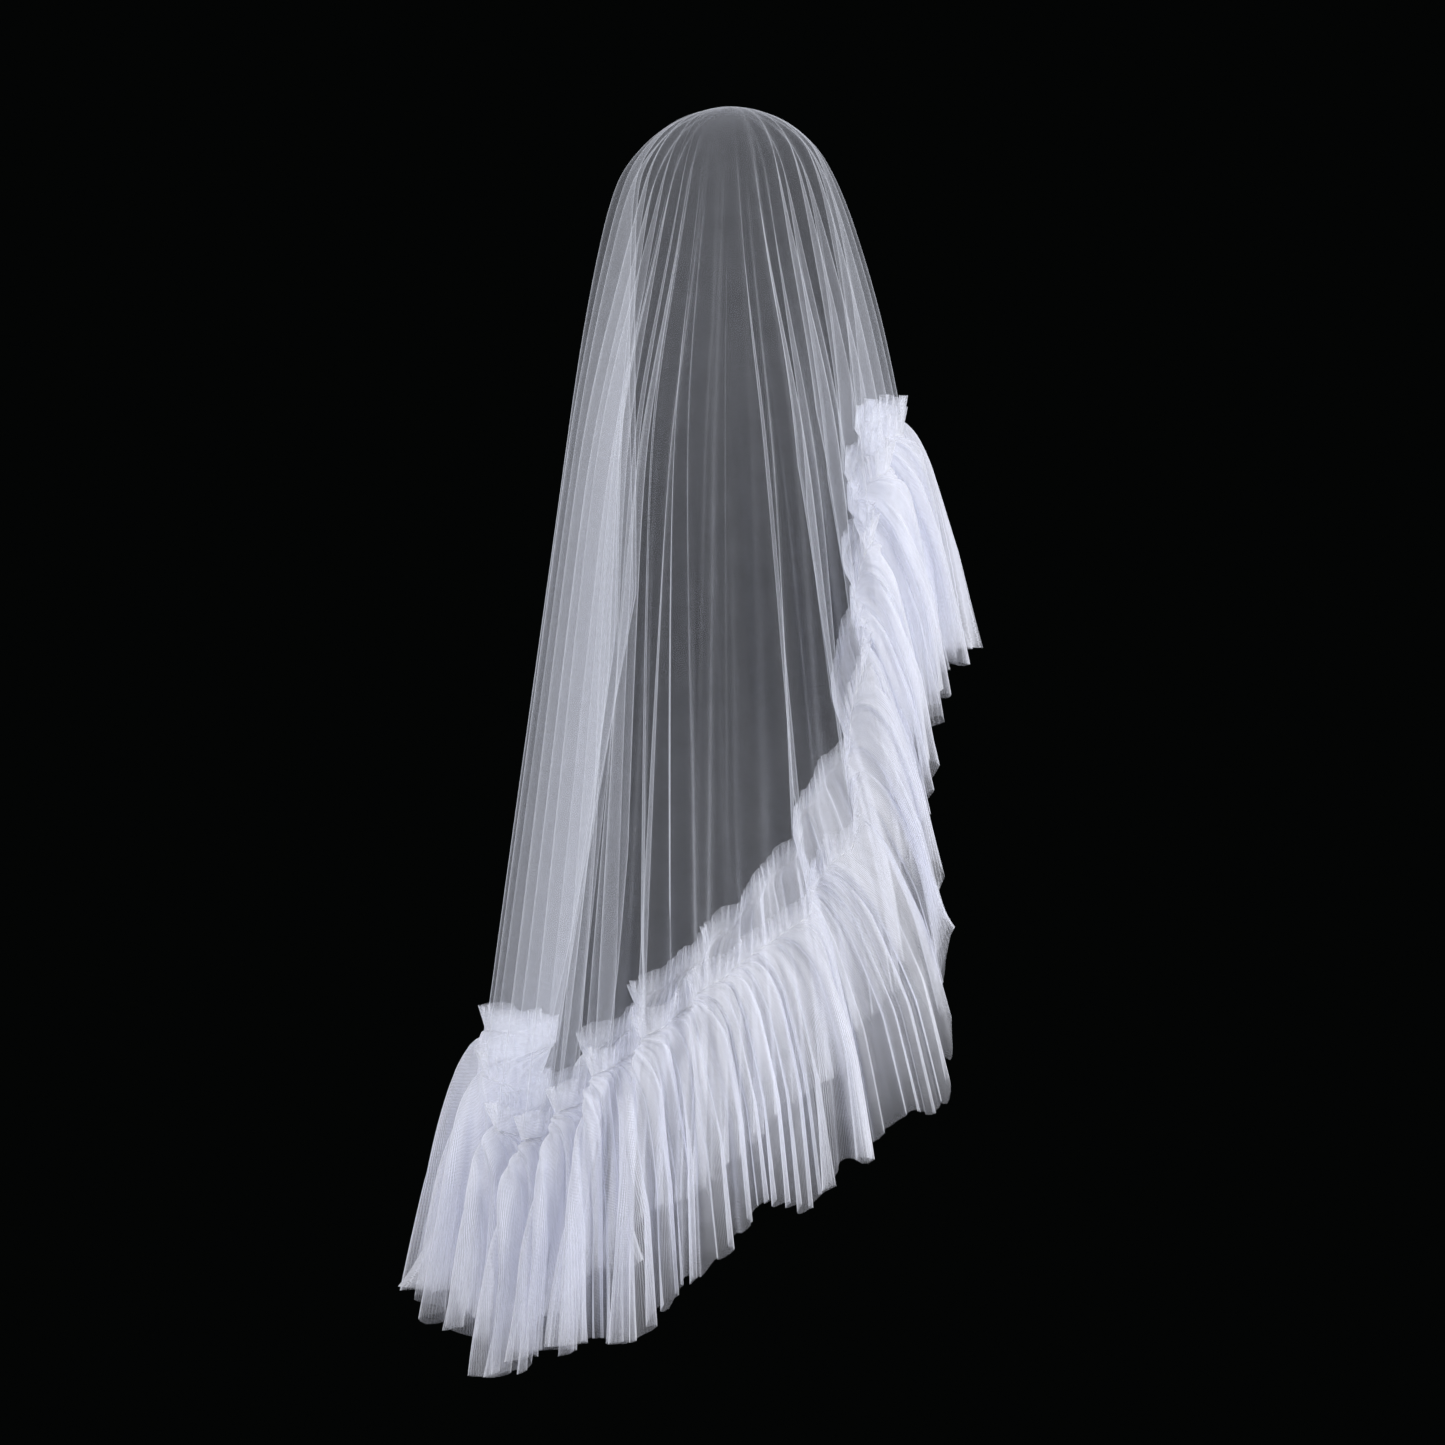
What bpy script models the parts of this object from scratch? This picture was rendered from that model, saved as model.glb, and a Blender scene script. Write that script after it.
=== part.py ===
"""Drop veil in soft tulle, held on the crown of the head.

An oval of tulle lies over the crown with its short end in front of the face and its long end down the back. Its
spare width hangs in deep folds. A gathered strip, the flounce, is sewn round the whole edge.

Metres, +Z up. The origin is the inner face of the cloth at the crown. The front is towards -Y, and the side
that the photograph shows is towards -X. Azimuths run from the front (0) by the shown side (90) to the back (180).
"""

import bmesh
import bpy
import numpy as np

# The oval cut: a full ellipse, with the crown this far ahead of its middle.
CUT_HALF_LENGTH = 0.659
CUT_HALF_WIDTH = 0.937
CUT_FULLNESS = 2.22
CROWN_AHEAD = 0.291
CUT_STEPS = 720

# The walls, and the gap that parts the two pieces at their seam.
BODY_WALL = 0.0012
STRIP_WALL = 0.0010
SEAM_GAP = 0.0003

# The gathered strip: the frill above the gathering line, and the flounce below it.
HEADING_HEIGHT = 0.024
HEADING_FRILL = 0.0030
HEADING_LEAN = 0.0065
PLEAT_DEPTH = 0.0095
STEEPEST_PLEAT = 1.25
SMALLEST_PLEAT = 0.70
LARGEST_PLEAT = 1.20
PLEAT_SEED = 7

# How steeply the smooth outer form falls, in degrees below the horizontal, with the distance from the crown
# along the cloth. The front and back follow the photograph's outline, the side a general head and shoulder.
FALL_COLUMNS = ("distance", "front", "side", "back")
FALL = (
    (0.000, 4.0, 3.0, 5.0),
    (0.020, 11.0, 10.0, 13.0),
    (0.050, 26.0, 24.0, 24.0),
    (0.080, 42.0, 48.0, 41.0),
    (0.110, 60.0, 63.0, 52.0),
    (0.140, 67.0, 67.0, 70.0),
    (0.180, 71.8, 66.0, 77.0),
    (0.230, 74.0, 64.5, 79.0),
    (0.290, 77.5, 64.0, 80.7),
    (0.350, 79.5, 68.0, 82.0),
    (0.420, 80.0, 78.0, 82.2),
    (0.500, 80.5, 83.0, 82.0),
    (0.700, 81.0, 85.5, 82.0),
    (1.100, 83.0, 87.0, 82.5),
)

# How steeply the flounce falls from its gathering line, and how far its pleats and its folds have opened and
# it has swung aside, with the distance down the flounce as a share of its length.
FLOUNCE_COLUMNS = ("down", "fall", "pleat_share", "fold_share", "swing_share")
FLOUNCE = (
    (0.00, 42.0, 0.00, 1.00, 0.00),
    (0.09, 60.0, 0.20, 0.98, 0.15),
    (0.23, 71.0, 0.42, 0.95, 0.35),
    (0.60, 77.0, 0.80, 0.88, 0.75),
    (1.00, 80.0, 1.00, 0.80, 1.00),
)

# The hanging folds. starts is where a fold's crest leaves the crown, cloth where it meets the oval's edge, and
# hangs where it hangs there, all in degrees from the front. skew turns the fold that follows to one side, and
# points is the number of columns that draw it, two for each pleat of the flounce. length is how far the flounce
# hangs below the crest, and swing is how far it falls aside, in metres towards the front.
FOLD_COLUMNS = ("starts", "cloth", "hangs", "fullness", "skew", "points", "length", "swing")
FOLDS = (
    (0.0, 0.0, 0.0, 0.90, 0.20, 10, 0.216, 0.000),
    (17.0, 18.0, 21.0, 1.00, -0.25, 8, 0.218, 0.006),
    (33.0, 34.0, 41.0, 1.00, 0.15, 8, 0.222, 0.018),
    (49.0, 49.0, 53.0, 1.00, 0.20, 8, 0.222, 0.032),
    (66.0, 65.0, 59.0, 1.00, -0.20, 8, 0.220, 0.044),
    (82.0, 81.0, 64.0, 0.95, -0.30, 10, 0.222, 0.055),
    (91.0, 88.0, 76.0, 0.80, 0.35, 8, 0.236, 0.024),
    (100.0, 94.5, 93.5, 0.75, -0.20, 8, 0.258, 0.006),
    (109.0, 101.0, 106.5, 0.95, 0.30, 8, 0.266, 0.002),
    (114.0, 107.0, 117.0, 1.00, -0.15, 8, 0.262, 0.000),
    (119.0, 114.0, 127.0, 1.00, 0.25, 8, 0.248, 0.000),
    (124.0, 123.0, 137.0, 1.00, 0.25, 8, 0.217, 0.006),
    (134.0, 138.0, 149.0, 1.00, -0.30, 10, 0.192, 0.010),
    (155.0, 157.0, 164.0, 1.00, 0.20, 10, 0.216, 0.004),
    (180.0, 181.0, 182.0, 0.95, 0.20, 10, 0.258, 0.000),
    (207.0, 204.0, 197.0, 1.00, 0.25, 10, 0.212, -0.002),
    (226.0, 224.0, 211.0, 1.00, -0.25, 10, 0.214, -0.004),
    (238.0, 240.0, 224.0, 1.00, 0.15, 8, 0.232, 0.000),
    (248.0, 251.0, 237.0, 0.90, -0.30, 8, 0.248, 0.000),
    (258.0, 260.0, 252.0, 0.80, 0.30, 8, 0.252, 0.000),
    (268.0, 268.0, 268.0, 0.80, -0.20, 8, 0.240, -0.005),
    (277.0, 276.0, 284.0, 0.90, 0.30, 8, 0.228, -0.026),
    (288.0, 286.0, 297.0, 0.95, -0.20, 8, 0.222, -0.042),
    (304.0, 303.0, 306.0, 1.00, 0.25, 8, 0.222, -0.030),
    (321.0, 320.0, 318.0, 1.00, 0.25, 8, 0.220, -0.016),
    (341.0, 340.0, 337.0, 1.00, -0.20, 10, 0.216, -0.006),
)

# The cloth turns this far from the outer form on a fold's sides, at most: in the free cloth, and at the seam.
STEEPEST_FREE = 98.0
STEEPEST_SEAM = 74.0
SEAM_HOLDS = 0.16

# The mesh: rings over the head, and rings from there to the edge and down the strip.
HEAD_RINGS = (0.030, 0.065, 0.100, 0.145)
HANGING_SHARES = (0.22, 0.46, 0.72, 1.0)
STRIP_SHARES = (0.20, 0.55, 1.0)
SECTION_STEPS = 96

TULLE_COLOUR = (0.90, 0.91, 0.93, 1.0)


def table(columns, rows):
    """A table's columns by name, as arrays."""
    return dict(zip(columns, np.array(rows, float).T))


def summed(values, steps):
    """The integral of the values over the steps, down the first axis."""
    return ((values[1:] + values[:-1]) / 2 * np.diff(steps, axis=0)).sum(axis=0)


def clear_scene():
    for old in list(bpy.data.objects):
        bpy.data.objects.remove(old)


def cut_length(cloth_deg):
    """How far the oval reaches from the crown in a direction on the cloth."""
    turn = np.linspace(0, np.pi, CUT_STEPS)
    ahead = CUT_HALF_LENGTH * np.sign(np.cos(turn)) * np.abs(np.cos(turn)) ** (2 / CUT_FULLNESS) - CROWN_AHEAD
    across = CUT_HALF_WIDTH * np.sin(turn) ** (2 / CUT_FULLNESS)
    direction = np.degrees(np.arctan2(across, ahead))
    half_way = 180 - np.abs(np.mod(cloth_deg, 360) - 180)
    return np.interp(half_way, direction, np.hypot(ahead, across))


def outer_form(azimuth, distance):
    """Reach and height of the smooth outer form, at a distance along the cloth from the crown."""
    fall = table(FALL_COLUMNS, FALL)
    steps = np.linspace(0, 1, SECTION_STEPS)[:, None] * distance
    front_back = np.cos(np.radians(azimuth))
    end = np.where(
        front_back > 0,
        np.interp(steps, fall["distance"], fall["front"]),
        np.interp(steps, fall["distance"], fall["back"]),
    )
    side = np.interp(steps, fall["distance"], fall["side"])
    angle = np.radians(side + (end - side) * front_back**2)
    return summed(np.cos(angle), steps), -summed(np.sin(angle), steps)


def fold_shape(turn, skew, points):
    """A fold's section from crest to crest: share of its width, and depth for each unit of width.

    The cloth's direction swings by the turn to one side and back, as a buckled sheet's does.
    """
    along = np.linspace(0, 1, SECTION_STEPS + 1)
    phase = 2 * np.pi * along
    direction = turn * np.sin(phase + skew * np.sin(phase))
    mean = (direction[1:] + direction[:-1]) / 2
    width = np.concatenate([[0], np.cumsum(np.cos(mean))])
    depth = np.concatenate([[0], np.cumsum(np.sin(mean))])
    depth = depth - along * depth[-1]
    return np.interp(points, along, width / width[-1]), np.interp(points, along, depth / width[-1])


def turn_for(fullness):
    """The turn, in radians, of a fold that takes up that many times its width of cloth."""
    turns = np.linspace(0, np.radians(STEEPEST_FREE), 60)
    phase = np.linspace(0, 2 * np.pi, 240, endpoint=False)
    taken = 1 / np.cos(turns[:, None] * np.sin(phase)).mean(axis=1)
    return float(np.interp(fullness, taken, turns))


def columns():
    """For each column round the veil: its fold, its place in the fold, and where it meets the oval's edge."""
    folds = table(FOLD_COLUMNS, FOLDS)
    counts = folds["points"].astype(int)
    index = np.repeat(np.arange(len(FOLDS)), counts)
    place = np.concatenate([np.arange(count) / count for count in counts])
    after = np.append(folds["cloth"][1:], folds["cloth"][0] + 360)
    return index, place, folds["cloth"][index] + (after - folds["cloth"])[index] * place


def crest(number, distance):
    """Where a crest lies at a distance from the crown: its direction on the cloth, and its azimuth."""
    turns, number = divmod(number, len(FOLDS))
    row = dict(zip(FOLD_COLUMNS, FOLDS[number]))
    share = min(distance / float(cut_length(row["cloth"])), 1.0)
    cloth = row["starts"] + (row["cloth"] - row["starts"]) * share
    azimuth = row["starts"] + (row["hangs"] - row["starts"]) * share
    return 360 * turns + cloth, 360 * turns + azimuth


def across_folds(name):
    """A column of the fold table, spread evenly over the veil's columns from crest to crest."""
    values = table(FOLD_COLUMNS, FOLDS)[name]
    index, place, _ = columns()
    return values[index] + (np.roll(values, -1) - values)[index] * place


def flounce_reach(share):
    """How far out and down each column of the flounce has come, at a share of its length."""
    flounce = table(FLOUNCE_COLUMNS, FLOUNCE)
    steps = np.linspace(0, share, SECTION_STEPS)
    angle = np.radians(np.interp(steps, flounce["down"], flounce["fall"]))
    length = across_folds("length")
    return length * summed(np.cos(angle), steps), length * summed(np.sin(angle), steps)


def ring(distances, steepest, turn_share=1.0, flounce_share=0.0):
    """One ring of points: the outer form with its folds turned in.

    distances is how far each column is from the crown, steepest the greatest turn in degrees, turn_share how
    much of the turn is left, and flounce_share how far down the flounce the ring lies.
    """
    index, place, _ = columns()
    folds = table(FOLD_COLUMNS, FOLDS)
    flare, drop = flounce_reach(flounce_share)
    firsts = np.append(distances[place == 0], distances[0])
    crests = [crest(number, distance) for number, distance in enumerate(firsts)]
    points = np.zeros((len(index), 3))
    for fold in range(len(FOLDS)):
        mine = index == fold
        (cloth_start, start), (cloth_end, end) = crests[fold], crests[fold + 1]
        middle = float(distances[mine].mean())
        reach, _ = outer_form(np.array([start, end]), firsts[fold:fold + 2])
        width = np.radians(end - start) * reach.mean()
        taken = middle * np.radians(cloth_end - cloth_start) / width
        fullness = max(1 + (taken - 1) * folds["fullness"][fold], 1.0)
        turn = min(turn_for(fullness), np.radians(steepest)) * turn_share
        across, depth = fold_shape(turn, folds["skew"][fold], place[mine])
        azimuth = start + (end - start) * across
        reach, height = outer_form(azimuth, distances[mine])
        wide = np.radians(end - start) * (reach + flare[mine])
        reach = reach + flare[mine] - depth * wide
        around = np.radians(azimuth)
        points[mine, 0] = -reach * np.sin(around)
        points[mine, 1] = -reach * np.cos(around)
        points[mine, 2] = height - drop[mine] + BODY_WALL / 2
    return points


def body_ring(distances):
    """A ring of the oval, at each column's distance from the crown."""
    _, _, cloth = columns()
    left = float((cut_length(cloth) - distances).min())
    held = np.clip(1 - left / SEAM_HOLDS, 0, 1)
    return ring(distances, STEEPEST_FREE + (STEEPEST_SEAM - STEEPEST_FREE) * held)


def outward(rings):
    """The unit normals of a closed band of rings, and how far a corner's mitre lies out for a unit wall."""
    around = np.roll(rings, -1, axis=1) - rings
    down = rings[1:] - rings[:-1]
    faces = np.cross((around[1:] + around[:-1]) / 2, down)
    faces /= np.maximum(np.linalg.norm(faces, axis=2, keepdims=True), 1e-9)
    total = np.zeros_like(rings)
    total[:-1] += faces + np.roll(faces, 1, axis=1)
    total[1:] += faces + np.roll(faces, 1, axis=1)
    normal = total / np.maximum(np.linalg.norm(total, axis=2, keepdims=True), 1e-9)
    flat = np.concatenate([faces, faces[-1:]])
    mitre = 1 / np.clip((normal * flat).sum(axis=2, keepdims=True), 0.5, 1.0)
    return normal, mitre


def wall(name, inner, outer, crown=None):
    """A closed wall between two bands of rings. crown gives the two points where a band closes at the top.

    Both sides of the wall are cut into triangles along the same diagonals, the shorter ones of its middle.
    """
    mesh = bpy.data.meshes.new(name)
    bm = bmesh.new()
    sides = [[[bm.verts.new(point) for point in line] for line in band] for band in (inner, outer)]
    middle = (inner + outer) / 2
    after = np.roll(middle, -1, axis=1)
    one_way = np.linalg.norm(middle[:-1] - after[1:], axis=2)
    other_way = np.linalg.norm(middle[1:] - after[:-1], axis=2)
    count = len(inner[0])
    for side, facing in zip(sides, (-1, 1)):
        for row, (above, below) in enumerate(zip(side, side[1:])):
            for here in range(count):
                there = (here + 1) % count
                corners = [above[here], below[here], below[there], above[there]]
                if one_way[row, here] > other_way[row, here]:
                    corners = corners[1:] + corners[:1]
                bm.faces.new((corners[0], corners[1], corners[2])[::facing])
                bm.faces.new((corners[0], corners[2], corners[3])[::facing])
    if crown is not None:
        for side, point, facing in zip(sides, crown, (-1, 1)):
            top = bm.verts.new(point)
            for here in range(count):
                corners = (top, side[0][here], side[0][(here + 1) % count])
                bm.faces.new(corners[::facing])
    rims = [(sides[0][-1], sides[1][-1])]
    if crown is None:
        rims.append((sides[1][0], sides[0][0]))
    for one, other in rims:
        for here in range(count):
            there = (here + 1) % count
            bm.faces.new((one[here], one[there], other[there]))
            bm.faces.new((one[here], other[there], other[here]))
    bmesh.ops.recalc_face_normals(bm, faces=bm.faces)
    bm.to_mesh(mesh)
    bm.free()
    mesh.shade_smooth()
    return mesh


def tulle(name):
    material = bpy.data.materials.new(name)
    material.use_nodes = True
    surface = material.node_tree.nodes["Principled BSDF"]
    surface.inputs["Base Color"].default_value = TULLE_COLOUR
    surface.inputs["Roughness"].default_value = 0.85
    surface.inputs["Metallic"].default_value = 0.0
    return material


def body_rings():
    """The rings of the oval from the head down to its cut edge; the strip's heading lies over the last span."""
    _, _, cloth = columns()
    cut = cut_length(cloth)
    rings = [body_ring(np.full(len(cloth), distance)) for distance in HEAD_RINGS]
    for share in HANGING_SHARES:
        rings.append(body_ring(HEAD_RINGS[-1] + (cut - HEADING_HEIGHT - HEAD_RINGS[-1]) * share))
    rings.append(body_ring(cut))
    return np.array(rings)


def pleat_room(line):
    """How deep each column's pleat can be without a side steeper than the limit."""
    step = np.roll(line, -1, axis=0) - line
    beside = np.abs(step[:, 0] * line[:, 1] - step[:, 1] * line[:, 0]) / np.hypot(line[:, 0], line[:, 1])
    return np.minimum(PLEAT_DEPTH, STEEPEST_PLEAT * np.minimum(beside, np.roll(beside, 1)))


def strip_rings(rings, normal, mitre):
    """The strip's middle surface: heading, gathering line and flounce, made from the oval's own points."""
    _, _, cloth = columns()
    lift = BODY_WALL / 2 + SEAM_GAP + STRIP_WALL / 2
    off = rings + normal * mitre * lift
    zigzag = np.tile([1.0, -1.0], len(cloth) // 2)
    sizes = np.random.default_rng(PLEAT_SEED).uniform(SMALLEST_PLEAT, LARGEST_PLEAT, len(cloth))
    ahead = off[-2] * (1, 1, 0)
    ahead /= np.linalg.norm(ahead, axis=1, keepdims=True)
    frill = (HEADING_LEAN + HEADING_FRILL * zigzag * sizes) * pleat_room(rings[-2]) / PLEAT_DEPTH
    made = [off[-2] + ahead * frill[:, None], off[-1]]
    opened = table(FLOUNCE_COLUMNS, FLOUNCE)
    swing = across_folds("swing")
    for down in STRIP_SHARES:
        share = {name: np.interp(down, opened["down"], opened[name]) for name in FLOUNCE_COLUMNS}
        base = ring(cut_length(cloth), STEEPEST_SEAM, share["fold_share"], down)
        ahead = base * (1, 1, 0)
        ahead /= np.linalg.norm(ahead, axis=1, keepdims=True)
        forward = np.cross((0, 0, 1), ahead)
        pleats = lift + pleat_room(base) * share["pleat_share"] * (zigzag + 1) * sizes
        made.append(base + ahead * pleats[:, None] + forward * (swing * share["swing_share"])[:, None])
    return np.array(made)


def main():
    clear_scene()
    rings = body_rings()
    normal, mitre = outward(rings)
    half = normal * mitre * BODY_WALL / 2
    crown = ((0, 0, 0), (0, 0, BODY_WALL))
    body = bpy.data.objects.new("veil_body", wall("veil_body", rings - half, rings + half, crown))
    body.data.materials.append(tulle("tulle_body"))
    strip = strip_rings(rings, normal, mitre)
    strip_normal, strip_mitre = outward(strip)
    half = strip_normal * strip_mitre * STRIP_WALL / 2
    flounce = bpy.data.objects.new("flounce", wall("flounce", strip - half, strip + half))
    flounce.data.materials.append(tulle("tulle_flounce"))
    for piece in (body, flounce):
        bpy.context.scene.collection.objects.link(piece)


if __name__ == "__main__":
    main()
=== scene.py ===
"""Bridal veil in soft tulle with a gathered flounce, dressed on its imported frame.

The oval of tulle and the strip that is gathered onto its edge are draped as single sheets of cloth from the
same cut, outer form and fold table as the solid part, with finer folds, gathers, creases and stitches.

Metres, +Z up. The origin is the inner face of the cloth at the crown, -Y the front and -X the shown side.
"""

from __future__ import annotations

import logging
import math
from dataclasses import dataclass, field
from enum import Enum
from typing import Callable

import bmesh
import bpy
import numpy as np
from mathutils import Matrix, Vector

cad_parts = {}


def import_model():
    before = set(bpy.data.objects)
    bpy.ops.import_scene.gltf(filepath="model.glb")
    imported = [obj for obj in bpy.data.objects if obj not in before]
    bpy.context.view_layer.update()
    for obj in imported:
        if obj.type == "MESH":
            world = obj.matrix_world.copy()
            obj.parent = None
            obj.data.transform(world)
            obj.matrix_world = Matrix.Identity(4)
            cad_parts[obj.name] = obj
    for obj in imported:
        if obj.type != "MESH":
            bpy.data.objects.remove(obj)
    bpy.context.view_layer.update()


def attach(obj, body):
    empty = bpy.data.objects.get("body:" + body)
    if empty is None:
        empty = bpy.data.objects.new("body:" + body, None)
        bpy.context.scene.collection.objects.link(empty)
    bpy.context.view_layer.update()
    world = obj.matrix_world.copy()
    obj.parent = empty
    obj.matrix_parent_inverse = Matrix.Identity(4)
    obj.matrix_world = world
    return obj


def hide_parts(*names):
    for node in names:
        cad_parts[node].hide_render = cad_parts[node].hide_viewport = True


log = logging.getLogger("veil")

BODY = "root"
BODY_WALL = 0.0012
STRIP_WALL = 0.0010
SEAM_GAP = 0.0003
MERGE_DISTANCE = 0.00002
GATHERING = "gathering"
SECTION_STEPS = 96


class Node(Enum):
    """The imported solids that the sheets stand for."""

    OVAL = "veil_body"
    FLOUNCE = "flounce"


class Slot(Enum):
    """The record's material slots."""

    OVAL = "tulle_body"
    FLOUNCE = "tulle_flounce"


@dataclass(frozen=True)
class Fold:
    """One hanging fold, from its crest to the next one.

    Args:
        starts: Direction in which its crest leaves the crown, in degrees from the front.
        cloth: Direction on the cloth in which the crest meets the oval's edge.
        hangs: Azimuth at which the crest hangs there.
        fullness: Share of the spare cloth that the fold takes up.
        skew: How far the fold leans to one side.
        pleats: Pleats of the flounce on it.
        length: How far the flounce hangs below its crest.
        swing: How far the flounce falls aside there.
    """

    starts: float
    cloth: float
    hangs: float
    fullness: float
    skew: float
    pleats: int
    length: float
    swing: float


FOLDS: tuple[Fold, ...] = (
    Fold(0.0, 0.0, 0.0, 0.90, 0.20, 5, 0.216, 0.000),
    Fold(17.0, 18.0, 21.0, 1.00, -0.25, 4, 0.218, 0.006),
    Fold(33.0, 34.0, 41.0, 1.00, 0.15, 4, 0.222, 0.012),
    Fold(49.0, 49.0, 53.0, 1.00, 0.20, 4, 0.222, 0.022),
    Fold(66.0, 65.0, 59.0, 1.00, -0.20, 4, 0.222, 0.036),
    Fold(82.0, 81.0, 64.0, 0.95, -0.30, 5, 0.240, 0.072),
    Fold(91.0, 88.0, 76.0, 0.80, 0.35, 4, 0.222, 0.034),
    Fold(100.0, 94.5, 93.5, 0.75, -0.20, 4, 0.244, 0.006),
    Fold(109.0, 101.0, 106.5, 0.95, 0.30, 4, 0.280, 0.002),
    Fold(114.0, 107.0, 117.0, 1.00, -0.15, 4, 0.250, 0.000),
    Fold(119.0, 114.0, 127.0, 1.00, 0.25, 4, 0.221, 0.000),
    Fold(124.0, 123.0, 137.0, 1.00, 0.25, 4, 0.217, 0.006),
    Fold(134.0, 138.0, 149.0, 1.00, -0.30, 5, 0.192, 0.010),
    Fold(155.0, 157.0, 164.0, 1.00, 0.20, 5, 0.216, 0.004),
    Fold(180.0, 181.0, 182.0, 0.95, 0.20, 5, 0.258, 0.000),
    Fold(207.0, 204.0, 197.0, 1.00, 0.25, 5, 0.212, -0.002),
    Fold(226.0, 224.0, 211.0, 1.00, -0.25, 5, 0.214, -0.004),
    Fold(238.0, 240.0, 224.0, 1.00, 0.15, 4, 0.232, 0.000),
    Fold(248.0, 251.0, 237.0, 0.90, -0.30, 4, 0.248, 0.000),
    Fold(258.0, 260.0, 252.0, 0.80, 0.30, 4, 0.252, 0.000),
    Fold(268.0, 268.0, 268.0, 0.80, -0.20, 4, 0.240, -0.005),
    Fold(277.0, 276.0, 284.0, 0.90, 0.30, 4, 0.228, -0.026),
    Fold(288.0, 286.0, 297.0, 0.95, -0.20, 4, 0.222, -0.042),
    Fold(304.0, 303.0, 306.0, 1.00, 0.25, 4, 0.222, -0.030),
    Fold(321.0, 320.0, 318.0, 1.00, 0.25, 4, 0.220, -0.016),
    Fold(341.0, 340.0, 337.0, 1.00, -0.20, 5, 0.216, -0.006),
)


@dataclass(frozen=True)
class Crease:
    """A soft ridge or trough that runs down the oval.

    Args:
        cloth: Direction from the crown on the cloth, in degrees from the front.
        start: Distance from the crown at which it begins.
        end: Distance from the crown at which it has faded out.
        width: Half its width.
        depth: How far it stands out; a trough is below nought.
    """

    cloth: float
    start: float
    end: float
    width: float
    depth: float


CREASES: tuple[Crease, ...] = (
    Crease(8.0, 0.06, 0.30, 0.005, 0.0022),
    Crease(12.5, 0.09, 0.36, 0.004, -0.0018),
    Crease(26.0, 0.05, 0.34, 0.006, 0.0028),
    Crease(39.0, 0.08, 0.40, 0.005, -0.0022),
    Crease(55.0, 0.10, 0.50, 0.006, 0.0026),
    Crease(72.0, 0.04, 0.62, 0.006, 0.0034),
    Crease(76.5, 0.12, 0.55, 0.004, -0.0020),
    Crease(84.5, 0.05, 0.78, 0.006, 0.0036),
    Crease(86.5, 0.22, 0.60, 0.004, 0.0018),
    Crease(90.5, 0.10, 0.82, 0.006, -0.0026),
    Crease(92.0, 0.35, 0.88, 0.005, 0.0030),
    Crease(96.5, 0.06, 0.70, 0.005, 0.0030),
    Crease(98.5, 0.40, 0.95, 0.006, -0.0026),
    Crease(104.0, 0.08, 0.90, 0.006, 0.0032),
    Crease(110.5, 0.16, 0.96, 0.005, 0.0024),
    Crease(118.0, 0.07, 0.85, 0.006, 0.0034),
    Crease(129.0, 0.10, 0.99, 0.007, -0.0030),
    Crease(133.0, 0.20, 0.70, 0.005, 0.0022),
    Crease(146.0, 0.08, 0.94, 0.008, 0.0034),
    Crease(152.0, 0.25, 0.80, 0.006, -0.0026),
    Crease(166.0, 0.09, 0.90, 0.008, 0.0032),
    Crease(174.0, 0.18, 0.66, 0.006, 0.0022),
    Crease(189.0, 0.07, 0.88, 0.008, 0.0034),
    Crease(197.0, 0.24, 0.78, 0.006, -0.0024),
    Crease(214.0, 0.08, 0.92, 0.008, 0.0030),
    Crease(231.0, 0.12, 0.95, 0.007, 0.0034),
    Crease(243.0, 0.08, 0.86, 0.006, -0.0026),
    Crease(247.5, 0.20, 0.98, 0.006, 0.0030),
    Crease(255.0, 0.06, 0.80, 0.006, 0.0032),
    Crease(264.0, 0.10, 0.84, 0.005, -0.0024),
    Crease(271.5, 0.05, 0.76, 0.006, 0.0034),
    Crease(281.0, 0.14, 0.66, 0.006, 0.0026),
    Crease(294.0, 0.06, 0.56, 0.006, 0.0030),
    Crease(312.0, 0.10, 0.46, 0.005, -0.0024),
    Crease(330.0, 0.07, 0.36, 0.006, 0.0026),
    Crease(350.0, 0.08, 0.32, 0.004, 0.0018),
)


def summed(values: np.ndarray, steps: np.ndarray) -> np.ndarray:
    """The integral of values over steps, down the first axis."""
    return ((values[1:] + values[:-1]) / 2 * np.diff(steps, axis=0)).sum(axis=0)


def unit(vectors: np.ndarray) -> np.ndarray:
    """The vectors, each at length one."""
    return vectors / np.maximum(np.linalg.norm(vectors, axis=-1, keepdims=True), 1e-12)


def outward_in_plan(points: np.ndarray) -> np.ndarray:
    """Level unit vectors from the vertical axis through the crown."""
    return unit(points * (1.0, 1.0, 0.0))


@dataclass(frozen=True)
class OvalCut:
    """The flat oval: a full ellipse, laid on the crown ahead of its middle.

    Args:
        half_length: From its middle to the front or back end.
        half_width: From its middle to either side.
        fullness: How much fuller than an ellipse it is; 2 is an ellipse.
        crown_ahead: How far the crown lies ahead of the middle.
        steps: Points that draw its edge.
    """

    half_length: float = 0.659
    half_width: float = 0.937
    fullness: float = 2.22
    crown_ahead: float = 0.291
    steps: int = 720

    def reach(self, direction: np.ndarray) -> np.ndarray:
        """How far the edge lies from the crown, in a direction in degrees from the front."""
        turn = np.linspace(0.0, math.pi, self.steps)
        power = 2.0 / self.fullness
        ahead = self.half_length * np.sign(np.cos(turn)) * np.abs(np.cos(turn)) ** power - self.crown_ahead
        across = self.half_width * np.sin(turn) ** power
        edge_direction = np.degrees(np.arctan2(across, ahead))
        folded_over = 180.0 - np.abs(np.mod(direction, 360.0) - 180.0)
        return np.interp(folded_over, edge_direction, np.hypot(ahead, across))

    def area(self) -> float:
        """The flat area of the oval."""
        turn = np.radians(np.linspace(0.0, 360.0, self.steps))
        return float(summed(self.reach(np.degrees(turn)) ** 2 / 2, turn))


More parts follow.
